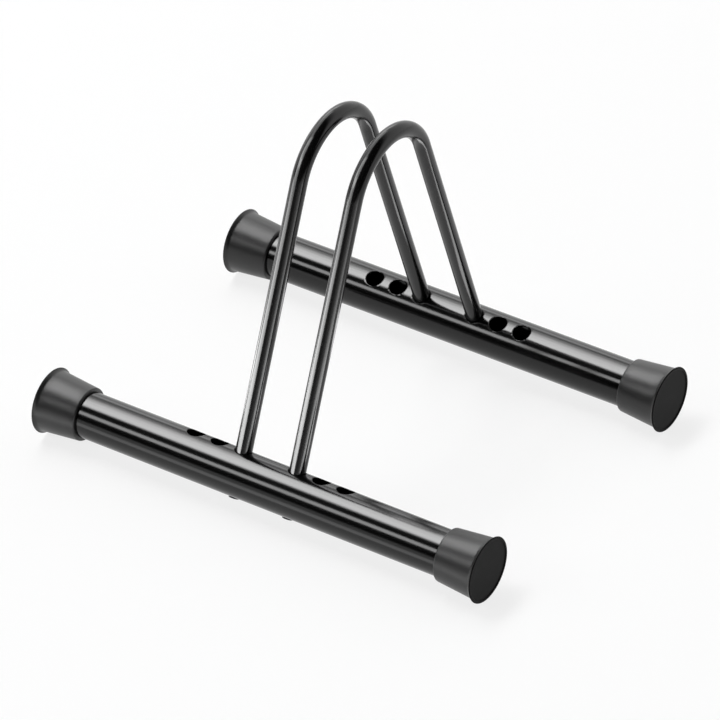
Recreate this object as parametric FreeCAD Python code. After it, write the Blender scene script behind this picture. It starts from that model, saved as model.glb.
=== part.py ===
import FreeCAD, Part
import math
import os

# Floor rack for one bicycle wheel: two base tubes lie on the floor in flared end caps, and two
# bent hoops stand across them, with the tyre held in the gap between the hoops.
# +X runs along the base tubes, +Y from the front tube to the rear tube and +Z up. The origin is
# on the floor, in the middle of the rack. Lengths are millimetres, angles are degrees.

# Driving sizes: base tubes
overall_length = 406.0          # over the outer faces of the end caps
tube_diameter = 38.0
tube_wall = 1.5
tube_spacing = 266.3            # between the axes of the two base tubes

# Driving sizes: hoops
leg_diameter = 13.5
leg_wall = 1.5
leg_lean = 21.0                 # each leg leans inwards by this angle from upright
bend_radius = 51.0              # of the centre line over the top of a hoop
tyre_gap = 36.3                 # clear width between the two hoops

# Driving sizes: rows of hoop holes
hole_pitch = 22.2
holes_per_side = 3              # on each side of the middle of a tube; hoops stand in the first
leg_hole_clearance = 0.65       # radial, between a leg and its hole

# Driving sizes: end caps
cap_length = 36.5
cap_end_wall = 3.0
cap_mouth_wall = 3.0            # wall of the cap where the tube enters it
cap_mouth_round = 1.2
cap_waist_radius = 24.9         # where the gentle taper ends and the flare begins
cap_rim_radius = 27.1           # the flared rim that stands on the floor
cap_flare_length = 4.0
cap_rim_round = 0.8
cap_lip_width = 2.4             # raised ring round the end face
cap_dish_depth = 0.6
cap_dish_slope = 0.6

# Driving sizes: fastening of a leg, a countersunk M4 screw through a saddle washer
screw_radius = 2.0
screw_length = 14.0             # over all, head included
screw_head_radius = 3.75
screw_head_land = 0.25          # short straight side of the head, above its 90 degree cone
screw_head_recess = 0.2         # head below the crest of the washer
socket_width = 2.5              # across the flats of the hexagon socket
socket_depth = 1.6
washer_radius = 4.6
washer_thickness = 1.2
insert_length = 14.0

# Named clearances
cap_fit = 0.15                  # radial and endways, between a tube and the cap pushed over it
seat_gap = 0.1                  # washer to tube, and screw head to washer
leg_seat_gap = 0.15             # leg end to the inner floor of the tube
insert_fit = 0.05               # radial, insert in its leg and screw in the insert
screw_hole_clearance = 0.25     # radial, screw head cone to the hole in the tube

# Sizes that follow from the ones above
tube_radius = tube_diameter / 2
tube_bore_radius = tube_radius - tube_wall
leg_radius = leg_diameter / 2
leg_bore_radius = leg_radius - leg_wall
leg_hole_radius = leg_radius + leg_hole_clearance
tube_end = overall_length / 2 - cap_end_wall - cap_fit
axis_height = cap_rim_radius
hoop_offset = (tyre_gap + leg_diameter) / 2
lean = math.radians(leg_lean)

# Depths are measured from the tube axis, down along the leg that points at it.
leg_end_depth = math.sqrt(tube_bore_radius ** 2 - leg_radius ** 2) - leg_seat_gap
washer_inner_radius = tube_radius + seat_gap
washer_outer_radius = washer_inner_radius + washer_thickness
screw_top_depth = washer_outer_radius - screw_head_recess
head_cone_top_depth = screw_top_depth - screw_head_land
head_radius_at_tube = screw_head_radius - (head_cone_top_depth - tube_radius)
screw_hole_radius = max(head_radius_at_tube, screw_radius) + screw_hole_clearance

X_AXIS = FreeCAD.Vector(1, 0, 0)


def leg_direction(side):
    """Unit vector up along the legs in the tube on this side: -1 is the front, +1 the rear."""
    return FreeCAD.Vector(0, -side * math.sin(lean), math.cos(lean))


def tube_centre(x, side):
    """Point on the axis of the tube on this side."""
    return FreeCAD.Vector(x, side * tube_spacing / 2, axis_height)


def down_leg(x, side, depth):
    """Point on a leg's axis, this deep below the axis of its tube."""
    return tube_centre(x, side) - leg_direction(side) * depth


def closed_face(edges):
    return Part.Face(Part.Wire(edges))


def line(start, end):
    return Part.LineSegment(start, end).toShape()


def arc(start, middle, end):
    return Part.Arc(start, middle, end).toShape()


def arc_leaving(before, start, end):
    """Arc to end that carries on from the line before-start without a corner."""
    heading = (start - before).normalize()
    chord = end - start
    turn = heading.getAngle(chord)
    outward = heading - chord * (heading.dot(chord) / chord.Length ** 2)
    rise = chord.Length / 2 * math.tan(turn / 2)
    return arc(start, start + chord / 2 + outward.normalize() * rise, end)


def hole_positions():
    """Places of the hoop holes along a tube, from the middle outwards on both sides."""
    outward = [hoop_offset + step * hole_pitch for step in range(holes_per_side)]
    return [-x for x in reversed(outward)] + outward


def make_base_tube(side):
    start = tube_centre(-tube_end, side)
    length = 2 * tube_end
    tube = Part.makeCylinder(tube_radius, length, start, X_AXIS)
    tube = tube.cut(Part.makeCylinder(tube_bore_radius, length, start, X_AXIS))
    cutters = []
    for x in hole_positions():
        centre = tube_centre(x, side)
        up = leg_direction(side)
        cutters.append(Part.makeCylinder(leg_hole_radius, tube_diameter, centre, up))
        cutters.append(Part.makeCylinder(screw_hole_radius, tube_diameter, centre, -up))
    return tube.cut(cutters)


def hoop_path(x):
    """Centre line of a hoop: two straight legs joined by one arc over the top."""
    front_end = down_leg(x, -1, leg_end_depth)
    rear_end = down_leg(x, 1, leg_end_depth)
    legs_meet = axis_height + tube_spacing / 2 / math.tan(lean)
    bend_centre = legs_meet - bend_radius / math.sin(lean)
    bend_y = bend_radius * math.cos(lean)
    bend_z = bend_centre + bend_radius * math.sin(lean)
    bend_front = FreeCAD.Vector(x, -bend_y, bend_z)
    bend_top = FreeCAD.Vector(x, 0, bend_centre + bend_radius)
    bend_rear = FreeCAD.Vector(x, bend_y, bend_z)
    return Part.Wire([
        line(front_end, bend_front),
        arc(bend_front, bend_top, bend_rear),
        line(bend_rear, rear_end),
    ])


def make_hoop(x):
    path = hoop_path(x)
    start = down_leg(x, -1, leg_end_depth)
    solids = []
    for radius in (leg_radius, leg_bore_radius):
        section = Part.Wire(Part.makeCircle(radius, start, leg_direction(-1)))
        solids.append(path.makePipeShell([section], True, False))
    hoop = solids[0].cut(solids[1])
    expected = math.pi * (leg_radius ** 2 - leg_bore_radius ** 2) * path.Length
    print("hoop volume over section times length: %.5f" % (hoop.Volume / expected))
    return hoop


def cap_profile():
    """Half section of a cap, drawn for the right-hand end: x outwards, y as the radius."""
    def point(x, radius):
        return FreeCAD.Vector(x, radius, 0)

    face = overall_length / 2
    mouth = face - cap_length
    bore = tube_radius + cap_fit
    mouth_radius = tube_radius + cap_mouth_wall
    floor_of_bore = face - cap_end_wall
    mouth_mid = cap_mouth_round * (1 - math.sqrt(0.5))
    flare_start = face - cap_flare_length
    rim_x = face - cap_rim_round
    rim_mid = cap_rim_round * math.sqrt(0.5)
    rim_centre_radius = cap_rim_radius - cap_rim_round
    lip_radius = cap_rim_radius - cap_lip_width
    taper_start = point(mouth + cap_mouth_round, mouth_radius)
    waist = point(flare_start, cap_waist_radius)
    dish_edge = point(face - cap_dish_depth, lip_radius - cap_dish_slope)
    return closed_face([
        line(point(mouth, bore), point(mouth, mouth_radius - cap_mouth_round)),
        arc(
            point(mouth, mouth_radius - cap_mouth_round),
            point(mouth + mouth_mid, mouth_radius - mouth_mid),
            taper_start,
        ),
        line(taper_start, waist),
        arc_leaving(taper_start, waist, point(rim_x, cap_rim_radius)),
        arc(
            point(rim_x, cap_rim_radius),
            point(rim_x + rim_mid, rim_centre_radius + rim_mid),
            point(face, rim_centre_radius),
        ),
        line(point(face, rim_centre_radius), point(face, lip_radius)),
        line(point(face, lip_radius), dish_edge),
        line(dish_edge, point(face - cap_dish_depth, 0)),
        line(point(face - cap_dish_depth, 0), point(floor_of_bore, 0)),
        line(point(floor_of_bore, 0), point(floor_of_bore, bore)),
        line(point(floor_of_bore, bore), point(mouth, bore)),
    ])


def make_foot_cap(end, side):
    """Cap on the left (-1) or right (+1) end of the tube on this side."""
    cap = cap_profile().revolve(FreeCAD.Vector(0, 0, 0), X_AXIS, 360)
    if end < 0:
        cap = cap.mirror(FreeCAD.Vector(0, 0, 0), X_AXIS)
    cap.translate(tube_centre(0, side))
    return cap


def make_leg_insert(x, side):
    bottom = down_leg(x, side, leg_end_depth)
    up = leg_direction(side)
    insert = Part.makeCylinder(leg_bore_radius - insert_fit, insert_length, bottom, up)
    return insert.cut(Part.makeCylinder(screw_radius + insert_fit, insert_length, bottom, up))


def head_cone(x, side, growth):
    """The countersunk head as a solid, thickened all over by this growth."""
    up = leg_direction(side)
    top_radius = screw_head_radius + growth
    cone_height = screw_head_radius - screw_radius
    cone = Part.makeCone(
        top_radius,
        screw_radius + growth,
        cone_height,
        down_leg(x, side, head_cone_top_depth),
        up,
    )
    land = Part.makeCylinder(top_radius, screw_head_land, down_leg(x, side, screw_top_depth), up)
    return cone.fuse(land)


def hexagon_socket(x, side):
    corner_radius = socket_width / 2 / math.cos(math.radians(30))
    corners = []
    for step in range(7):
        angle = math.radians(60 * step)
        corners.append(
            FreeCAD.Vector(corner_radius * math.cos(angle), corner_radius * math.sin(angle), 0)
        )
    prism = Part.Face(Part.makePolygon(corners)).extrude(FreeCAD.Vector(0, 0, socket_depth))
    turn = FreeCAD.Rotation(FreeCAD.Vector(0, 0, 1), leg_direction(side))
    prism.Placement = FreeCAD.Placement(down_leg(x, side, screw_top_depth), turn)
    return prism


def make_leg_screw(x, side):
    up = leg_direction(side)
    shank = Part.makeCylinder(
        screw_radius,
        screw_length - screw_head_land,
        down_leg(x, side, head_cone_top_depth),
        up,
    )
    screw = shank.fuse(head_cone(x, side, 0)).removeSplitter()
    return screw.cut(hexagon_socket(x, side))


def make_saddle_washer(x, side):
    """Disc punched from sheet and curved to lie against the underside of the tube."""
    width = 2 * washer_radius
    shell_start = tube_centre(x - washer_radius, side)
    shell = Part.makeCylinder(washer_outer_radius, width, shell_start, X_AXIS)
    shell = shell.cut(Part.makeCylinder(washer_inner_radius, width, shell_start, X_AXIS))
    punch = Part.makeCylinder(
        washer_radius,
        washer_outer_radius,
        tube_centre(x, side),
        -leg_direction(side),
    )
    washer = shell.common(punch)
    return washer.cut(head_opening(x, side))


def head_opening(x, side):
    """Countersink of the washer: the head with its gap, carried on out of the washer."""
    up = leg_direction(side)
    outlet = Part.makeCylinder(
        screw_head_radius + seat_gap,
        washer_thickness,
        down_leg(x, side, screw_top_depth + washer_thickness),
        up,
    )
    return outlet.fuse(head_cone(x, side, seat_gap))


def export(node, shape):
    if shape.ShapeType == "Compound" and len(shape.Solids) == 1:
        shape = shape.Solids[0]
    if not shape.isValid() or len(shape.Solids) != 1:
        raise ValueError("%s is not one valid solid" % node)
    shape.exportStep("parts/%s.step" % node)
    print("%-28s %10.1f mm3" % (node, shape.Volume))


os.makedirs("parts", exist_ok=True)

for end_name, end in (("left", -1), ("right", 1)):
    export("%s_hoop" % end_name, make_hoop(end * hoop_offset))

for side_name, side in (("front", -1), ("rear", 1)):
    export("%s_base_tube" % side_name, make_base_tube(side))
    for end_name, end in (("left", -1), ("right", 1)):
        corner = "%s_%s" % (side_name, end_name)
        x = end * hoop_offset
        export("foot_cap_%s" % corner, make_foot_cap(end, side))
        export("leg_insert_%s" % corner, make_leg_insert(x, side))
        export("leg_screw_%s" % corner, make_leg_screw(x, side))
        export("saddle_washer_%s" % corner, make_saddle_washer(x, side))
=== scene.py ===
import math

import bmesh
import bpy
from mathutils import Matrix, Vector


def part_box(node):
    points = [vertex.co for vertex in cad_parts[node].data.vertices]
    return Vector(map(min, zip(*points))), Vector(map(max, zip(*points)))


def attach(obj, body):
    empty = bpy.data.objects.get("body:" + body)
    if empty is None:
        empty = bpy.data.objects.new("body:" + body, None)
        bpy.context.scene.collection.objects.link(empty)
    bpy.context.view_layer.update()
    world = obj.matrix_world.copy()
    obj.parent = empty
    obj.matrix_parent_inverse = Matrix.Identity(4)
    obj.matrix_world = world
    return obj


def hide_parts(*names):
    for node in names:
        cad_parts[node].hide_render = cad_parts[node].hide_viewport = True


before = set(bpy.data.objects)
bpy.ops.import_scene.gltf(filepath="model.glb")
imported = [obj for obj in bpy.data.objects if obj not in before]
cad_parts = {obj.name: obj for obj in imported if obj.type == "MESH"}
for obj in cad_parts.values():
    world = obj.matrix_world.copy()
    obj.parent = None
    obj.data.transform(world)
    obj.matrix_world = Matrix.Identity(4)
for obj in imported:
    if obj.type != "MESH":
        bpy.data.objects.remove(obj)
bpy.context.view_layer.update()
print("frame loaded:", len(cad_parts), "nodes")


def mm(length):  # the rack's sizes are written in millimetres and used in metres
    return length / 1000


# places read from the frame

frontLow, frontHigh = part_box("front_base_tube")
rearLow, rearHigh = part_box("rear_base_tube")
hoopLow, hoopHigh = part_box("right_hoop")
capLow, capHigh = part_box("foot_cap_front_right")

tubeRadius = (frontHigh[2] - frontLow[2]) / 2
tubeHeight = (frontHigh[2] + frontLow[2]) / 2  # of the tube axis above the floor
tubeHalf = (frontHigh[0] - frontLow[0]) / 2
tubeY = (rearHigh[1] + rearLow[1]) / 2  # the front tube is at minus this
legRadius = (hoopHigh[0] - hoopLow[0]) / 2
hoopX = (hoopHigh[0] + hoopLow[0]) / 2  # the left hoop is at minus this
capMouth, capFace = capLow[0], capHigh[0]
capRimRadius = (capHigh[2] - capLow[2]) / 2

hoopShape = {
    "lean": math.radians(21),  # of each leg from upright
    "bendRadius": mm(51.05),   # centre line over the top, a hair wide to stay in the CAD's box
    "wall": mm(1.5),
    "around": 96,              # faces round the tube
    "bendSteps": 92,
    "legEnd": mm(16),          # end of a leg below the base tube's axis
}

tubeShape = {
    "wall": mm(1.5),
    "around": 96,              # faces round the tube
    "pitchCells": 16,          # faces along the tube from one hole to the next
    "middleCells": 20,
    "endCells": 14,
    "holePitch": mm(22.2),
    "holesPerSide": 3,
}

legHole = {
    "radius": mm(7.4),
    "cells": (14, 16),         # square of faces that the round hole replaces
    "angle": 0,                # round the tube, from the leg's direction
    "rimRound": mm(0.4),
    "rimSteps": 3,
    "rings": 2,
}

screwHole = {
    "radius": mm(3.15),
    "cells": (6, 6),
    "angle": math.pi,          # opposite the leg
    "rimRound": mm(0.2),
    "rimSteps": 2,
    "rings": 1,
}

tolerance = {
    "double": mm(0.002),       # vertices nearer than this are merged
    "level": mm(0.01),         # from a face of the sheet or its end
    "rim": mm(0.04),           # from the edge of a hole
    "square": mm(0.2),         # from the square of faces round a hole
}

smoothing = {
    "tube": 35,                # degrees between two faces that still shade as one
    "turned": 40,
    "largeFaces": 80,          # how much the large faces count in a normal, 50 is neutral
}


# small helpers

def onlyObject(piece):
    if bpy.context.object and bpy.context.object.mode != "OBJECT":
        bpy.ops.object.mode_set(mode="OBJECT")
    bpy.ops.object.select_all(action="DESELECT")
    if piece:
        piece.select_set(True)
        bpy.context.view_layer.objects.active = piece


def editMesh(piece, mode="VERT"):
    onlyObject(piece)
    bpy.ops.object.mode_set(mode="EDIT")
    bpy.ops.mesh.select_mode(type=mode)


def middleOf(item):
    if isinstance(item, bmesh.types.BMVert):
        return item.co
    return sum((v.co for v in item.verts), Vector()) / len(item.verts)


def pick(piece, mode, test):  # selects in edit mode what passes the test, by its middle
    bpy.ops.mesh.select_mode(type=mode)
    bpy.ops.mesh.select_all(action="DESELECT")
    mesh = bmesh.from_edit_mesh(piece.data)
    layers = {"VERT": mesh.verts, "EDGE": mesh.edges, "FACE": mesh.faces}
    for item in layers[mode]:
        if test(middleOf(item)):
            item.select = True
    mesh.select_flush_mode()
    bmesh.update_edit_mesh(piece.data)


def applyModifier(piece, kind, **settings):
    onlyObject(piece)
    modifier = piece.modifiers.new(kind.title(), kind)
    for key, value in settings.items():
        setattr(modifier, key, value)
    bpy.ops.object.modifier_apply(modifier=modifier.name)


def settle(piece, kind):  # place into the mesh, doubles merged, faces outwards, shaded smooth
    onlyObject(piece)
    bpy.ops.object.transform_apply(location=True, rotation=True, scale=True)
    editMesh(piece)
    bpy.ops.mesh.select_all(action="SELECT")
    bpy.ops.mesh.remove_doubles(threshold=tolerance["double"])
    bpy.ops.mesh.normals_make_consistent(inside=False)
    bpy.ops.object.mode_set(mode="OBJECT")
    bpy.ops.object.shade_smooth_by_angle(angle=math.radians(smoothing[kind]))


def evenNormals(piece):  # large faces keep their own normals beside a rounded edge
    applyModifier(piece, "WEIGHTED_NORMAL", keep_sharp=True, weight=smoothing["largeFaces"])


def copyOf(piece):  # with its own mesh
    onlyObject(piece)
    bpy.ops.object.duplicate()
    return bpy.context.object


def mirrored(piece, x=1, y=1):  # across the middle of the rack, faces outwards again
    onlyObject(piece)
    bpy.ops.transform.resize(value=(x, y, 1), center_override=(0, 0, 0))
    bpy.ops.object.transform_apply(location=True, rotation=True, scale=True)
    if x * y < 0:
        editMesh(piece)
        bpy.ops.mesh.select_all(action="SELECT")
        bpy.ops.mesh.normals_make_consistent(inside=False)
        bpy.ops.object.mode_set(mode="OBJECT")
    return piece


def onEveryCorner(piece):  # the front right piece and its copies for the other corners
    corners = {"FrontRight": piece}
    corners["FrontLeft"] = mirrored(copyOf(piece), x=-1)
    corners["RearRight"] = mirrored(copyOf(piece), y=-1)
    corners["RearLeft"] = mirrored(copyOf(piece), x=-1, y=-1)
    return corners.items()


def nodeEnding(cornerName):
    return cornerName.replace("Left", "_left").replace("Right", "_right").lower()


def finishPiece(piece, name, node, material):
    piece.name = name
    piece.data.name = name
    piece.data.materials.clear()
    piece.data.materials.append(material)
    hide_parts(node)
    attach(piece, "root")
    print("made", name, len(piece.data.polygons), "faces")


def legDirection():  # up along the front legs
    lean = hoopShape["lean"]
    return Vector((0, math.sin(lean), math.cos(lean)))


def downLeg(x, depth):  # a point on a front leg's axis, below the front tube's axis
    return Vector((x, -tubeY, tubeHeight)) - legDirection() * depth


def spinProfile(points, steps):  # points are (x, radius), spun round the X axis
    onlyObject(None)
    bpy.ops.mesh.primitive_plane_add(size=mm(1), location=(0, 0, 0))
    piece = bpy.context.object
    editMesh(piece)
    bpy.ops.mesh.select_all(action="SELECT")
    bpy.ops.mesh.merge(type="CENTER")  # leaves one vertex to draw the profile from
    bpy.ops.transform.translate(value=(points[0][0], 0, points[0][1]))
    for before, after in zip(points, points[1:]):
        step = (after[0] - before[0], 0, after[1] - before[1])
        bpy.ops.mesh.extrude_vertices_move(TRANSFORM_OT_translate={"value": step})
    bpy.ops.mesh.select_all(action="SELECT")
    bpy.ops.mesh.spin(steps=steps, angle=2 * math.pi, center=(0, 0, 0), axis=(1, 0, 0))
    bpy.ops.mesh.select_all(action="SELECT")
    bpy.ops.mesh.remove_doubles(threshold=tolerance["double"])
    bpy.ops.mesh.normals_make_consistent(inside=False)
    bpy.ops.object.mode_set(mode="OBJECT")
    return piece


def turnTo(piece, place, direction):  # what was spun round X goes to this place and direction
    along = Vector(direction)
    across = Vector((1, 0, 0))
    turn = Matrix((along, along.cross(across), across)).transposed().to_4x4()
    piece.data.transform(Matrix.Translation(place) @ turn)


def arcPoints(centre, radius, start, end, steps):  # angles in degrees, from the X axis
    points = []
    for step in range(steps + 1):
        angle = math.radians(start + (end - start) * step / steps)
        points.append((centre[0] + radius * math.cos(angle), centre[1] + radius * math.sin(angle)))
    return points


# materials

def hexColour(code):  # sRGB hex to linear RGBA
    values = [int(code[i:i + 2], 16) / 255 for i in (1, 3, 5)]
    linear = [v / 12.92 if v <= 0.04045 else ((v + 0.055) / 1.055) ** 2.4 for v in values]
    return (*linear, 1)


def addNode(tree, kind, settings=None, inputs=None, links=None):
    node = tree.nodes.new(kind)
    for key, value in (settings or {}).items():
        setattr(node, key, value)
    for key, value in (inputs or {}).items():
        node.inputs[key].default_value = value
    for key, source in (links or {}).items():
        tree.links.new(source, node.inputs[key])
    return node


def newMaterial(name, shader):
    material = bpy.data.materials.new(name)
    material.use_nodes = True
    tree = material.node_tree
    tree.nodes.clear()
    surface = addNode(tree, "ShaderNodeBsdfPrincipled", inputs=shader)
    addNode(tree, "ShaderNodeOutputMaterial", links={"Surface": surface.outputs["BSDF"]})
    place = addNode(tree, "ShaderNodeTexCoord").outputs["Object"]
    return material, tree, surface, place


def perMetre(size):  # noise scale for features of about this size
    return 1 / size


def glossBlackEnamel():
    # stoved gloss enamel over steel tube: a deep black with mirror-like lamp reflections,
    # which the slight orange peel of a sprayed coat makes a little uneven
    material, tree, surface, place = newMaterial("glossBlackEnamel", {"IOR": 1.42})
    cloud = addNode(tree, "ShaderNodeTexNoise", inputs={"Scale": perMetre(mm(60)), "Detail": 3},
                    links={"Vector": place})
    tint = addNode(tree, "ShaderNodeValToRGB", links={"Fac": cloud.outputs["Fac"]})
    tint.color_ramp.elements[0].color = hexColour("#030303")
    tint.color_ramp.elements[1].color = hexColour("#060606")
    tree.links.new(tint.outputs["Color"], surface.inputs["Base Color"])
    dull = addNode(tree, "ShaderNodeMapRange", inputs={"To Min": 0.13, "To Max": 0.18},
                   links={"Value": cloud.outputs["Fac"]})
    tree.links.new(dull.outputs["Result"], surface.inputs["Roughness"])
    peel = addNode(tree, "ShaderNodeTexNoise", inputs={"Scale": perMetre(mm(3)), "Detail": 1},
                   links={"Vector": place})
    bump = addNode(tree, "ShaderNodeBump", inputs={"Strength": 0.06, "Distance": mm(0.05)},
                   links={"Height": peel.outputs["Fac"]})
    tree.links.new(bump.outputs["Normal"], surface.inputs["Normal"])
    return material


def mouldedRubber():
    # moulded rubber cap: dark grey with a soft satin sheen and the fine matt grain of the mould
    material, tree, surface, place = newMaterial("mouldedRubber", {"IOR": 1.5})
    cloud = addNode(tree, "ShaderNodeTexNoise", inputs={"Scale": perMetre(mm(14)), "Detail": 4},
                    links={"Vector": place})
    tint = addNode(tree, "ShaderNodeValToRGB", links={"Fac": cloud.outputs["Fac"]})
    tint.color_ramp.elements[0].color = hexColour("#141414")
    tint.color_ramp.elements[1].color = hexColour("#1b1b1b")
    tree.links.new(tint.outputs["Color"], surface.inputs["Base Color"])
    dull = addNode(tree, "ShaderNodeMapRange", inputs={"To Min": 0.33, "To Max": 0.40},
                   links={"Value": cloud.outputs["Fac"]})
    tree.links.new(dull.outputs["Result"], surface.inputs["Roughness"])
    # the end face inside its lip came off a matt part of the mould and has hardly any sheen
    axes = addNode(tree, "ShaderNodeSeparateXYZ", links={"Vector": place})
    along = addNode(tree, "ShaderNodeMath", {"operation": "ABSOLUTE"},
                    links={0: axes.outputs["X"]})
    mattFrom, mattFull = capFace - mm(0.8), capFace - mm(0.7)
    sheen = addNode(tree, "ShaderNodeMapRange", inputs={
        "From Min": mattFrom, "From Max": mattFull, "To Min": 0.5, "To Max": 0.03,
    }, links={"Value": along.outputs["Value"]})
    tree.links.new(sheen.outputs["Result"], surface.inputs["Specular IOR Level"])
    grain = addNode(tree, "ShaderNodeTexNoise", inputs={"Scale": perMetre(mm(0.5)), "Detail": 2},
                    links={"Vector": place})
    bump = addNode(tree, "ShaderNodeBump", inputs={"Strength": 0.15, "Distance": mm(0.03)},
                   links={"Height": grain.outputs["Fac"]})
    tree.links.new(bump.outputs["Normal"], surface.inputs["Normal"])
    return material


def blackenedSteel():
    # black oxide on steel: near-black metal with a dull oily sheen
    material, tree, surface, place = newMaterial("blackenedSteel", {
        "Metallic": 1.0, "Roughness": 0.35,
    })
    cloud = addNode(tree, "ShaderNodeTexNoise", inputs={"Scale": perMetre(mm(2)), "Detail": 3},
                    links={"Vector": place})
    tint = addNode(tree, "ShaderNodeValToRGB", links={"Fac": cloud.outputs["Fac"]})
    tint.color_ramp.elements[0].color = hexColour("#2c2c2e")
    tint.color_ramp.elements[1].color = hexColour("#434345")
    tree.links.new(tint.outputs["Color"], surface.inputs["Base Color"])
    return material


def zincPlatedSteel():
    # bright zinc over turned steel: pale grey metal with fine turning marks
    material, tree, surface, place = newMaterial("zincPlatedSteel", {
        "Metallic": 1.0, "Roughness": 0.3,
    })
    cloud = addNode(tree, "ShaderNodeTexNoise", inputs={"Scale": perMetre(mm(1)), "Detail": 3},
                    links={"Vector": place})
    tint = addNode(tree, "ShaderNodeValToRGB", links={"Fac": cloud.outputs["Fac"]})
    tint.color_ramp.elements[0].color = hexColour("#b4b7bb")
    tint.color_ramp.elements[1].color = hexColour("#cfd2d6")
    tree.links.new(tint.outputs["Color"], surface.inputs["Base Color"])
    return material


enamel = glossBlackEnamel()
rubber = mouldedRubber()
blackSteel = blackenedSteel()
zinc = zincPlatedSteel()
print("materials ready")


# base tubes: the front one is a flat sheet with round holes, given its wall, rolled up and
# closed, and the rear one is its mirror image

def holePlaces():  # of both halves, along the tube
    outward = [hoopX + step * tubeShape["holePitch"] for step in range(tubeShape["holesPerSide"])]
    return [-x for x in reversed(outward)] + outward


def sheetLines():  # where the sheet's faces divide along the tube
    pitch = tubeShape["holePitch"]
    rowStart = hoopX - pitch / 2
    rowEnd = rowStart + pitch * tubeShape["holesPerSide"]
    rowCells = tubeShape["pitchCells"] * tubeShape["holesPerSide"]
    middleCells = tubeShape["middleCells"] // 2
    half = [rowStart * i / middleCells for i in range(middleCells)]
    half += [rowStart + (rowEnd - rowStart) * i / rowCells for i in range(rowCells)]
    endCells = tubeShape["endCells"]
    half += [rowEnd + (tubeHalf - rowEnd) * i / endCells for i in range(endCells + 1)]
    return [-x for x in reversed(half[1:])] + half


def rollUp(piece):  # the sheet's Y becomes the way round the tube, its Z the radius
    for vertex in piece.data.vertices:
        turn = vertex.co.y / tubeRadius + hoopShape["lean"]
        radius = tubeRadius + vertex.co.z
        vertex.co.y = radius * math.sin(turn) - tubeY
        vertex.co.z = radius * math.cos(turn) + tubeHeight


def onHole(place, hole, x, stretch):
    across = (place.y - hole["angle"] * tubeRadius) / stretch
    return abs(math.hypot(place.x - x, across) - hole["radius"]) < tolerance["rim"]


def roundAngle(u, v):  # a place on a square's edge, as an angle round the circle inside it
    if abs(u) > abs(v):
        return math.pi / 4 * v if u > 0 else math.pi - math.pi / 4 * v
    return math.copysign(math.pi / 2 - math.pi / 4 * u, v)


def punchHole(piece, hole, x):  # a square of faces is taken out and its edge drawn in to a circle
    centreY = hole["angle"] * tubeRadius
    halfX = hole["cells"][0] / 2 * tubeShape["holePitch"] / tubeShape["pitchCells"]
    halfY = hole["cells"][1] / 2 * 2 * math.pi * tubeRadius / tubeShape["around"]
    stretch = tubeRadius / hole["radius"] * math.asin(hole["radius"] / tubeRadius)

    def inSquare(place, spare=0):
        return abs(place.x - x) < halfX + spare and abs(place.y - centreY) < halfY + spare

    pick(piece, "FACE", inSquare)
    bpy.ops.mesh.delete(type="FACE")
    pick(piece, "VERT", lambda place: inSquare(place, tolerance["square"]))
    bpy.ops.mesh.extrude_region_move()
    mesh = bmesh.from_edit_mesh(piece.data)
    for vertex in (v for v in mesh.verts if v.select):
        angle = roundAngle((vertex.co.x - x) / halfX, (vertex.co.y - centreY) / halfY)
        vertex.co.x = x + hole["radius"] * math.cos(angle)
        vertex.co.y = centreY + hole["radius"] * stretch * math.sin(angle)
    bmesh.update_edit_mesh(piece.data)
    pick(piece, "EDGE", lambda place: (
        inSquare(place, -tolerance["square"]) and not onHole(place, hole, x, stretch)))
    bpy.ops.mesh.subdivide(number_cuts=hole["rings"])


def roundHole(piece, hole, x):
    centre = (x, hole["angle"] * tubeRadius, 0)
    outer = tubeRadius / hole["radius"] * math.asin(hole["radius"] / tubeRadius)
    boreRadius = tubeRadius - tubeShape["wall"]
    inner = tubeRadius / hole["radius"] * math.asin(hole["radius"] / boreRadius)
    pick(piece, "EDGE", lambda place: (
        place.z > -tolerance["level"] and onHole(place, hole, x, outer)))
    bpy.ops.mesh.bevel(offset=hole["rimRound"], segments=hole["rimSteps"], clamp_overlap=False)
    pick(piece, "VERT", lambda place: (
        place.z < tolerance["level"] - tubeShape["wall"] and onHole(place, hole, x, outer)))
    bpy.ops.transform.resize(value=(1, inner / outer, 1), center_override=centre)


def makeFrontTube():
    lines = sheetLines()
    columns, rows = len(lines) - 1, tubeShape["around"]
    onlyObject(None)
    bpy.ops.mesh.primitive_grid_add(x_subdivisions=columns, y_subdivisions=rows, size=1)
    piece = bpy.context.object
    sheetStart = -math.pi / 2 * tubeRadius  # the seam is a quarter turn from the holes
    for vertex in piece.data.vertices:
        column = round((vertex.co.x + 0.5) * columns)
        row = round((vertex.co.y + 0.5) * rows)
        vertex.co = (lines[column], sheetStart + 2 * math.pi * tubeRadius * row / rows, 0)
    editMesh(piece)
    holes = [(hole, x) for hole in (legHole, screwHole) for x in holePlaces()]
    for hole, x in holes:
        punchHole(piece, hole, x)
    bpy.ops.mesh.select_all(action="SELECT")
    bpy.ops.mesh.normals_make_consistent(inside=False)
    bpy.ops.object.mode_set(mode="OBJECT")
    if piece.data.polygons[0].normal.z < 0:  # the wall is given to the side away from these
        piece.data.flip_normals()
    applyModifier(piece, "SOLIDIFY", thickness=tubeShape["wall"], offset=-1)
    editMesh(piece)
    for hole, x in holes:
        roundHole(piece, hole, x)
    sheetEnd = sheetStart + 2 * math.pi * tubeRadius
    pick(piece, "FACE", lambda place: (
        min(place.y - sheetStart, sheetEnd - place.y) < tolerance["level"]))
    bpy.ops.mesh.delete(type="ONLY_FACE")
    bpy.ops.object.mode_set(mode="OBJECT")
    rollUp(piece)
    settle(piece, "tube")
    evenNormals(piece)
    return piece


frontTube = makeFrontTube()
rearTube = mirrored(copyOf(frontTube), y=-1)
finishPiece(frontTube, "frontBaseTube", "front_base_tube", enamel)
finishPiece(rearTube, "rearBaseTube", "rear_base_tube", enamel)


# hoops: a ring drawn up the front leg, round the bend and down the rear leg

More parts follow.
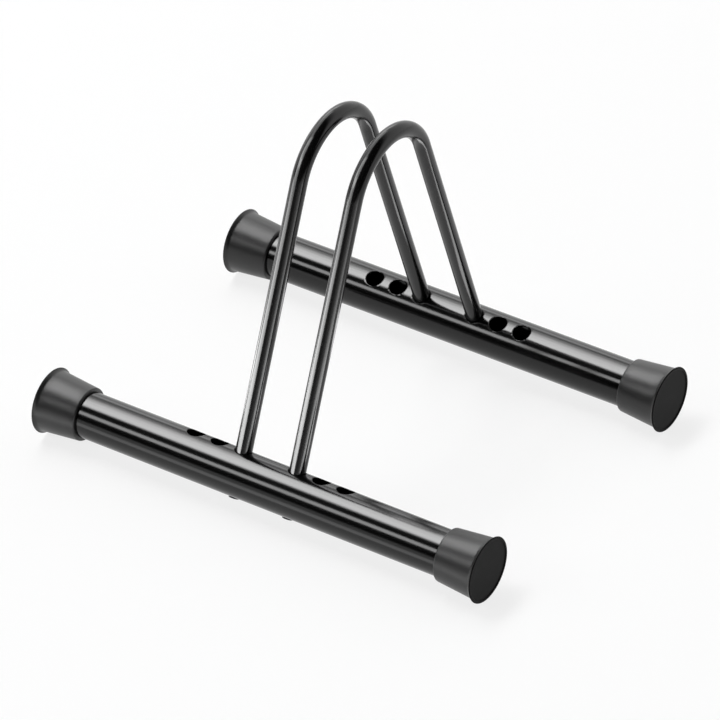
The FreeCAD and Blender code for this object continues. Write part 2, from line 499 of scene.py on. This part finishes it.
def makeHoop(x):  # x is the place of its middle plane along the base tubes
    lean = hoopShape["lean"]
    bendRadius = hoopShape["bendRadius"]
    start = downLeg(x, hoopShape["legEnd"])
    legsMeet = tubeHeight + tubeY / math.tan(lean)
    bendCentre = Vector((x, 0, legsMeet - bendRadius / math.sin(lean)))
    bendStart = bendCentre + bendRadius * Vector((0, -math.cos(lean), math.sin(lean)))
    onlyObject(None)
    bpy.ops.mesh.primitive_circle_add(
        vertices=hoopShape["around"], radius=legRadius, location=start, rotation=(-lean, 0, 0))
    piece = bpy.context.object
    bpy.ops.object.transform_apply(location=True, rotation=True, scale=True)
    editMesh(piece, "EDGE")
    bpy.ops.mesh.select_all(action="SELECT")
    up = bendStart - start
    bpy.ops.mesh.extrude_region_move(TRANSFORM_OT_translate={"value": up})
    bpy.ops.mesh.spin(
        steps=hoopShape["bendSteps"], angle=math.pi - 2 * lean, center=bendCentre, axis=(1, 0, 0))
    down = Vector((0, up.y, -up.z))
    bpy.ops.mesh.extrude_region_move(TRANSFORM_OT_translate={"value": down})
    bpy.ops.mesh.select_all(action="SELECT")
    bpy.ops.mesh.remove_doubles(threshold=tolerance["double"])
    bpy.ops.mesh.normals_make_consistent(inside=False)
    applyModifier(piece, "SOLIDIFY", thickness=hoopShape["wall"], offset=-1)
    settle(piece, "tube")
    return piece


rightHoop = makeHoop(hoopX)
leftHoop = mirrored(copyOf(rightHoop), x=-1)
finishPiece(rightHoop, "rightHoop", "right_hoop", enamel)
finishPiece(leftHoop, "leftHoop", "left_hoop", enamel)


# end caps: one half section spun round the tube's axis

capShape = {
    "mouthWall": mm(3),
    "mouthRound": mm(1.2),
    "fit": mm(0.15),
    "endWall": mm(3),
    "waistRadius": mm(24.9),
    "flareLength": mm(4),
    "rimRound": mm(0.8),
    "lipWidth": mm(2.4),
    "lipRound": mm(0.5),
    "dishDepth": mm(0.6),
    "dishSlope": mm(0.1),      # by which the lip's inner side narrows towards the dish
    "dishRing": mm(8),         # radius of a ring of edges that keeps the dish's faces short
    "taperSteps": 6,
    "flareSteps": 7,
    "roundSteps": 5,           # of the mouth's and the rim's rounded edge
    "lipSteps": 4,
    "around": 96,
}


def capSection():
    bore = tubeRadius + capShape["fit"]
    mouthRadius = tubeRadius + capShape["mouthWall"]
    mouthRound = capShape["mouthRound"]
    rimRound = capShape["rimRound"]
    dish = capFace - capShape["dishDepth"]
    lipInner = capRimRadius - capShape["lipWidth"]
    lipRound = capShape["lipRound"]
    waist = (capFace - capShape["flareLength"], capShape["waistRadius"])
    taperStart = (capMouth + mouthRound, mouthRadius)
    points = [(capMouth, bore)]
    points += arcPoints((capMouth + mouthRound, mouthRadius - mouthRound), mouthRound, 180, 90,
                        capShape["roundSteps"])
    for step in range(1, capShape["taperSteps"]):
        share = step / capShape["taperSteps"]
        points.append((taperStart[0] + (waist[0] - taperStart[0]) * share,
                       taperStart[1] + (waist[1] - taperStart[1]) * share))
    slope = math.atan2(waist[1] - taperStart[1], waist[0] - taperStart[0])
    rimStart = (capFace - rimRound, capRimRadius)
    chord = math.hypot(rimStart[0] - waist[0], rimStart[1] - waist[1])
    rise = math.atan2(rimStart[1] - waist[1], rimStart[0] - waist[0])
    flareRadius = chord / 2 / math.sin(rise - slope)
    flareCentre = (waist[0] - flareRadius * math.sin(slope),
                   waist[1] + flareRadius * math.cos(slope))
    flareStart = math.degrees(slope) - 90
    points += arcPoints(flareCentre, flareRadius, flareStart,
                        flareStart + 2 * math.degrees(rise - slope), capShape["flareSteps"])
    points += arcPoints((capFace - rimRound, capRimRadius - rimRound), rimRound, 75, 0,
                        capShape["roundSteps"])
    points += arcPoints((capFace - lipRound, lipInner + lipRound), lipRound, 0, -90,
                        capShape["lipSteps"])
    points += [(dish, lipInner - capShape["dishSlope"]), (dish, capShape["dishRing"]), (dish, 0)]
    points += [(capFace - capShape["endWall"], 0), (capFace - capShape["endWall"], bore)]
    points.append(points[0])
    return points


def makeCap():
    piece = spinProfile(capSection(), capShape["around"])
    bpy.ops.transform.translate(value=(0, -tubeY, tubeHeight))
    settle(piece, "turned")
    evenNormals(piece)
    return piece


for cornerName, cap in onEveryCorner(makeCap()):
    finishPiece(cap, "footCap" + cornerName, "foot_cap_" + nodeEnding(cornerName), rubber)


# fastening under each leg: a saddle washer and a countersunk screw

washerShape = {
    "radius": mm(4.6),
    "thickness": mm(1.2),
    "seatGap": mm(0.1),
    "holeRadius": mm(3.85),
    "holeLand": mm(0.3),       # straight side of the hole, above its 45 degree countersink
    "edgeRound": mm(0.3),
    "edgeSteps": 4,
    "around": 64,
}

screwShape = {
    "top": mm(20.1),           # below the tube's axis
    "headRadius": mm(3.75),
    "headLand": mm(0.25),
    "edgeRound": mm(0.15),
    "edgeSteps": 3,
    "shankRadius": mm(2),
    "length": mm(14),
    "endChamfer": mm(0.5),
    "socketWidth": mm(2.5),
    "socketDepth": mm(1.6),
    "around": 48,
}


def makeWasher():
    low = washerShape["seatGap"]
    high = low + washerShape["thickness"]
    rounded = washerShape["edgeRound"]
    radius = washerShape["radius"]
    holeRadius = washerShape["holeRadius"]
    landEnd = high - washerShape["holeLand"]
    section = [(low, holeRadius - (landEnd - low)), (low, radius - rounded / 2),
               (low + rounded / 2, radius)]
    section += arcPoints((high - rounded, radius - rounded), rounded, 90, 0,
                         washerShape["edgeSteps"])
    section += [(high, holeRadius), (landEnd, holeRadius)]
    section.append(section[0])
    piece = spinProfile(section, washerShape["around"])
    for vertex in piece.data.vertices:  # each level of the disc is curved round the tube
        level = tubeRadius + vertex.co.x
        vertex.co.x = math.sqrt(level ** 2 - vertex.co.y ** 2)
    turnTo(piece, downLeg(hoopX, 0), -legDirection())
    settle(piece, "turned")
    evenNormals(piece)
    return piece


def makeScrew():
    headRadius = screwShape["headRadius"]
    shankRadius = screwShape["shankRadius"]
    rounded = screwShape["edgeRound"]
    coneTop = screwShape["headLand"]
    coneEnd = coneTop + headRadius - shankRadius
    length = screwShape["length"]
    chamfer = screwShape["endChamfer"]
    section = [(0, 0)]
    section += arcPoints((rounded, headRadius - rounded), rounded, 180, 90,
                         screwShape["edgeSteps"])
    section += [(coneTop, headRadius), (coneEnd, shankRadius), (length - chamfer, shankRadius),
                (length, shankRadius - chamfer), (length, 0)]
    piece = spinProfile(section, screwShape["around"])
    bpy.ops.object.select_all(action="DESELECT")
    bpy.ops.mesh.primitive_cylinder_add(
        vertices=6, radius=screwShape["socketWidth"] / 2 / math.cos(math.pi / 6),
        depth=2 * screwShape["socketDepth"], rotation=(0, math.pi / 2, 0))
    socket = bpy.context.object
    applyModifier(piece, "BOOLEAN", operation="DIFFERENCE", object=socket, solver="EXACT")
    bpy.data.objects.remove(socket)
    settle(piece, "turned")
    turnTo(piece, downLeg(hoopX, screwShape["top"]), legDirection())
    return piece


for cornerName, washer in onEveryCorner(makeWasher()):
    finishPiece(washer, "saddleWasher" + cornerName, "saddle_washer_" + nodeEnding(cornerName),
                blackSteel)
for cornerName, screw in onEveryCorner(makeScrew()):
    finishPiece(screw, "legScrew" + cornerName, "leg_screw_" + nodeEnding(cornerName), blackSteel)
    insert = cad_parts["leg_insert_" + nodeEnding(cornerName)]
    insert.material_slots[0].material = zinc


# floor, lamps, world and camera

floorShape = {
    "size": 60,                # metres, past the edges of every view
    "colour": "#e8e8e8",
    "whiteness": 0.8,          # share of plain white where the floor is seen or reflected
}


def makeFloor():
    onlyObject(None)
    bpy.ops.mesh.primitive_plane_add(size=floorShape["size"])
    floor = bpy.context.object
    floor.name = "floor"
    # matt pale paint: where it is seen or reflected, plain white is mixed in, so that it stays
    # near white and keeps only soft shadows
    material, tree, surface, _ = newMaterial("paleFloor", {
        "Base Color": hexColour(floorShape["colour"]), "Roughness": 0.9, "Specular IOR Level": 0.0,
    })
    rays = addNode(tree, "ShaderNodeLightPath")
    seen = addNode(tree, "ShaderNodeMath", {"operation": "MAXIMUM"},
                   links={0: rays.outputs["Is Camera Ray"], 1: rays.outputs["Is Glossy Ray"]})
    seen = addNode(tree, "ShaderNodeMath", {"operation": "MAXIMUM"},
                   links={0: seen.outputs["Value"], 1: rays.outputs["Is Transmission Ray"]})
    share = addNode(tree, "ShaderNodeMath", {"operation": "MULTIPLY"},
                    inputs={1: floorShape["whiteness"]}, links={0: seen.outputs["Value"]})
    white = addNode(tree, "ShaderNodeEmission", inputs={"Color": (1, 1, 1, 1), "Strength": 1})
    mixed = addNode(tree, "ShaderNodeMixShader", links={
        0: share.outputs["Value"], 1: surface.outputs["BSDF"], 2: white.outputs["Emission"]})
    output = [node for node in tree.nodes if node.type == "OUTPUT_MATERIAL"][0]
    tree.links.new(mixed.outputs["Shader"], output.inputs["Surface"])
    floor.data.materials.append(material)


studio = {
    "distance": 8,             # from the rack to the long lamps, in metres
    "left": (-5.2, -2.9),      # where those start and end along the tubes
    "right": (2.9, 5.2),
    "farLeft": (-10, -5.2),
    "front": (-5.2, -1.6),
}

bandLamps = {  # parallel to the tubes, so each is a straight band of light along them
    # name: its two edges in degrees from overhead towards the front, brightness (1 is white paper)
    "topWide": (-44, 24, 2.5),
    "frontStrip": (46.5, 60.5, 8.5),
    "rearStrip": (-70, -57, 1.5),
}

topLamps = {  # the same, kept off the hoops
    "topMiddle": (-34, 21, 3),
    "topInner": (-27, 19, 4.5),
    "topCore": (-16, 17, 5),
    "topFront": (-2, 15, 2.5),
}

rearViewLamps = {  # the same on the right, kept to the base tubes, which show them from behind
    "topRight": (-27, 19, 5),
    "topRightCore": (-14, 15, 7),
    "rearStripRight": (-60, -50, 5),
}

hoopWalls = {  # broad soft lamps whose light is kept to the hoops, and where they are
    "wallRear": (-65, 10, 2.7, "farLeft"),
    "wallFront": (10, 84, 8, "farLeft"),
    "frontWall": (12, 84, 5, "front"),
}

panels = {
    # name: middle, width and height, brightness, what it faces
    "leftPanel": ((-6.4, -4.4, 4.6), (3.6, 2.2), 4, "rack"),
    "frontCard": ((-0.05, -0.238, 0.002), (0.6, 0.075), 1.5, "up"),
}

hoopPanels = {  # like the panels, but these light the hoops alone
    "leftWall": ((-20, 0, 8), (16, 15), 1.3, "rack"),
    "leftLow": ((-0.43, -0.636, 0.06), (0.6, 0.12), 18, "rack"),
    "leftMiddle": ((-0.43, -0.636, 0.155), (0.6, 0.07), 12, "rack"),
    "leftHigh": ((-0.43, -0.636, 0.235), (0.6, 0.09), 8, "rack"),
    "leftFloorNear": ((-0.37, -0.24, 0.002), (0.32, 0.33), 13, "up"),
    "leftFloorFront": ((-0.45, -0.51, 0.002), (0.5, 0.2), 9, "up"),
    "leftFloorMiddle": ((-0.75, -0.36, 0.002), (0.44, 0.46), 3, "up"),
    "rightFloorNear": ((0.35, -0.23, 0.002), (0.42, 0.33), 8, "up"),
    "rightFloorMiddle": ((0.77, -0.42, 0.002), (0.44, 0.6), 4.5, "up"),
    "rightFloorFar": ((1.4, -0.7, 0.002), (0.8, 1.0), 1.8, "up"),
    "rearFloor": ((0.17, 0.105, 0.002), (0.2, 0.06), 4.5, "up"),
}


def makeLamp(name, place, size, brightness, facing, onlyOn=None):  # facing can be an angle too
    light = bpy.data.lights.new(name, "AREA")
    light.shape = "RECTANGLE"
    light.size, light.size_y = size
    light.energy = brightness * math.pi * size[0] * size[1]
    lamp = bpy.data.objects.new(name, light)
    bpy.context.collection.objects.link(lamp)
    lamp.location = place
    if facing == "up":
        lamp.rotation_euler = (math.pi, 0, 0)
    elif facing == "rack":
        towards = Vector((0, 0, tubeHeight)) - Vector(place)
        lamp.rotation_euler = towards.to_track_quat("-Z", "Y").to_euler()
    else:
        lamp.rotation_euler = (facing, 0, 0)
    lamp.visible_camera = False
    if onlyOn:
        lamp.light_linking.receiver_collection = onlyOn


def makeBandLamp(name, start, end, brightness, part="left", onlyOn=None):
    angle = math.radians((start + end) / 2)
    leftEnd, rightEnd = studio[part]
    place = ((leftEnd + rightEnd) / 2,
             -studio["distance"] * math.sin(angle), studio["distance"] * math.cos(angle))
    height = 2 * studio["distance"] * math.tan(math.radians(end - start) / 2)
    makeLamp(name, place, (rightEnd - leftEnd, height), brightness, angle, onlyOn)


worldShade = {
    "horizon": 0.9,            # brightness of the pale band at the horizon
    "horizonFrom": 0.052,      # it grows between these sines of elevation
    "horizonFull": 0.026,
    "backdrop": 1.2,           # brightness of the white backdrop behind the rack
    "backdropFrom": 0.30,      # it grows between these sines of the angle from overhead
    "backdropFull": 0.75,
    "room": 0.01,
}


def makeWorld():  # a dark room with a white backdrop behind the rack and a pale horizon
    world = bpy.data.worlds.new("studio")
    bpy.context.scene.world = world
    world.use_nodes = True
    tree = world.node_tree
    tree.nodes.clear()
    direction = addNode(tree, "ShaderNodeTexCoord").outputs["Generated"]
    height = addNode(tree, "ShaderNodeSeparateXYZ", links={"Vector": direction})
    horizon = addNode(tree, "ShaderNodeMapRange", {"interpolation_type": "SMOOTHSTEP"}, {
        "From Min": worldShade["horizonFull"], "From Max": worldShade["horizonFrom"],
        "To Min": worldShade["horizon"], "To Max": worldShade["room"],
    }, {"Value": height.outputs["Z"]})
    flat = addNode(tree, "ShaderNodeVectorMath", {"operation": "MULTIPLY"},
                   inputs={1: (0, 1, 1)}, links={0: direction})
    flat = addNode(tree, "ShaderNodeVectorMath", {"operation": "NORMALIZE"},
                   links={0: flat.outputs["Vector"]})
    behind = addNode(tree, "ShaderNodeSeparateXYZ", links={"Vector": flat.outputs["Vector"]})
    backdrop = addNode(tree, "ShaderNodeMapRange", {"interpolation_type": "SMOOTHSTEP"}, {
        "From Min": worldShade["backdropFrom"], "From Max": worldShade["backdropFull"],
        "To Min": 0, "To Max": worldShade["backdrop"],
    }, {"Value": behind.outputs["Y"]})
    strength = addNode(tree, "ShaderNodeMath", {"operation": "MAXIMUM"}, links={
        0: horizon.outputs["Result"], 1: backdrop.outputs["Result"]})
    soft = addNode(tree, "ShaderNodeBackground", inputs={"Color": (1, 1, 1, 1)},
                   links={"Strength": strength.outputs["Value"]})
    addNode(tree, "ShaderNodeOutputWorld", links={"Surface": soft.outputs["Background"]})


cameraView = {
    "azimuth": math.radians(33.25),
    "elevation": math.radians(35.13),
    "distance": 5.372,
    "right": mm(-0.57),        # the aim, from the point midway between the tubes
    "up": mm(31.28),
    "lens": 342.5,
    "sensor": 36,
    "farthest": 100,
}


def makeCamera():
    azimuth, elevation = cameraView["azimuth"], cameraView["elevation"]
    back = Vector((math.sin(azimuth) * math.cos(elevation),
                   -math.cos(azimuth) * math.cos(elevation), math.sin(elevation)))
    right = Vector((math.cos(azimuth), math.sin(azimuth), 0))
    up = back.cross(right)
    data = bpy.data.cameras.new("camera")
    camera = bpy.data.objects.new("camera", data)
    bpy.context.collection.objects.link(camera)
    data.lens = cameraView["lens"]
    data.sensor_width = cameraView["sensor"]
    data.clip_end = cameraView["farthest"]
    aim = Vector((0, 0, tubeHeight)) + right * cameraView["right"] + up * cameraView["up"]
    camera.location = aim + back * cameraView["distance"]
    camera.rotation_euler = (-back).to_track_quat("-Z", "Y").to_euler()
    bpy.context.scene.camera = camera


makeFloor()
offHoops = bpy.data.collections.new("offHoops")
offHoops.objects.link(leftHoop)
offHoops.objects.link(rightHoop)
for entry in offHoops.collection_objects:
    entry.light_linking.link_state = "EXCLUDE"
for name, settings in bandLamps.items():
    makeBandLamp(name, *settings)
for name, settings in topLamps.items():
    makeBandLamp(name, *settings, onlyOn=offHoops)
for name, settings in panels.items():
    makeLamp(name, *settings)
tubes = bpy.data.collections.new("tubes")
tubes.objects.link(frontTube)
tubes.objects.link(rearTube)
for name, settings in rearViewLamps.items():
    makeBandLamp(name, *settings, part="right", onlyOn=tubes)
hoops = bpy.data.collections.new("hoops")
hoops.objects.link(leftHoop)
hoops.objects.link(rightHoop)
for name, settings in hoopWalls.items():
    makeBandLamp(name, *settings, onlyOn=hoops)
for name, settings in hoopPanels.items():
    makeLamp(name, *settings, hoops)
makeWorld()
makeCamera()
bpy.context.scene.view_settings.view_transform = "Standard"
print("studio ready")
